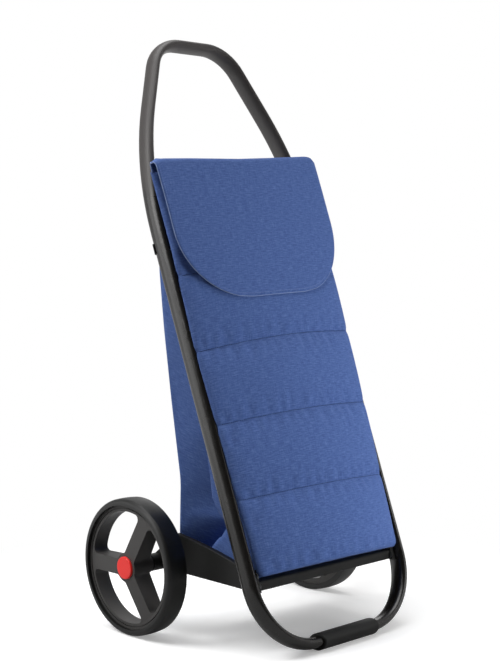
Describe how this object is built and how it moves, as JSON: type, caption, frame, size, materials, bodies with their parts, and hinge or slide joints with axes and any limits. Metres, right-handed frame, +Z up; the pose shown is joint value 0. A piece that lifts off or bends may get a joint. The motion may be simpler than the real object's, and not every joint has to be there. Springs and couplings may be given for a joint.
{
  "type": "shopping trolley",
  "caption": "Two-wheeled upright shopping trolley with a leaning oval-tube loop frame, a fabric bag with a padded front and a lift-up flap, a foot bar and spoked wheels.",
  "frame": {"origin": "on the floor, at the middle of the trolley's width and depth", "axes": "+Z up, +X along the axle to the right seen from the front, +Y from the padded front towards the wheels"},
  "size_m": [0.4592, 0.3984, 0.9701],
  "materials": {
    "black_tube": "satin black coating",
    "black_plastic": "matte moulded",
    "grey_plastic": "matte moulded",
    "steel": "plain zinc plated",
    "tyre": "matte foamed rubber",
    "bush_plastic": "natural",
    "red_plastic": "glossy moulded",
    "blue_fabric": "heathered weave",
    "padded_fabric": "heathered weave over padding",
    "board": "flat sheet"
  },
  "bodies": {
    "chassis": {"frame_tube": "black_tube", "tube_joiner": "black_plastic", "foot_sleeve": "black_plastic", "sleeve_screws": "steel", "upper_crossbar": "steel", "left_crossbar_socket": "black_plastic", "right_crossbar_socket": "black_plastic", "left_bag_hook": "black_plastic", "right_bag_hook": "black_plastic", "hanger_bar": "steel", "left_bag_clip": "black_plastic", "right_bag_clip": "black_plastic", "base_tray": "black_plastic", "left_arm": "black_plastic", "right_arm": "black_plastic", "frame_screws": "steel", "tray_screws": "steel", "axle": "steel", "axle_washers": "steel", "axle_clips": "steel", "bag_back": "blue_fabric", "bag_left_side": "blue_fabric", "bag_right_side": "blue_fabric", "bag_lining": "blue_fabric", "bag_board": "board", "front_panel": "padded_fabric"},
    "flap": {"flap": "blue_fabric"},
    "left_wheel": {"left_tyre": "tyre", "left_rim": "grey_plastic", "left_bushes": "bush_plastic", "left_hub_cap": "red_plastic"},
    "right_wheel": {"right_tyre": "tyre", "right_rim": "grey_plastic", "right_bushes": "bush_plastic", "right_hub_cap": "red_plastic"}
  },
  "joints": [
    {"name": "left_wheel_spin", "type": "hinge", "parent": "chassis", "child": "left_wheel", "pos_m": [0, 0.08549, 0.11], "axis": [1, 0, 0], "continuous": true},
    {"name": "right_wheel_spin", "type": "hinge", "parent": "chassis", "child": "right_wheel", "pos_m": [0, 0.08549, 0.11], "axis": [1, 0, 0], "continuous": true},
    {"name": "flap_open", "type": "hinge", "parent": "chassis", "child": "flap", "pos_m": [0, 0.07272, 0.7541], "axis": [-1, 0, 0], "range_deg": [0, 115]}
  ]
}
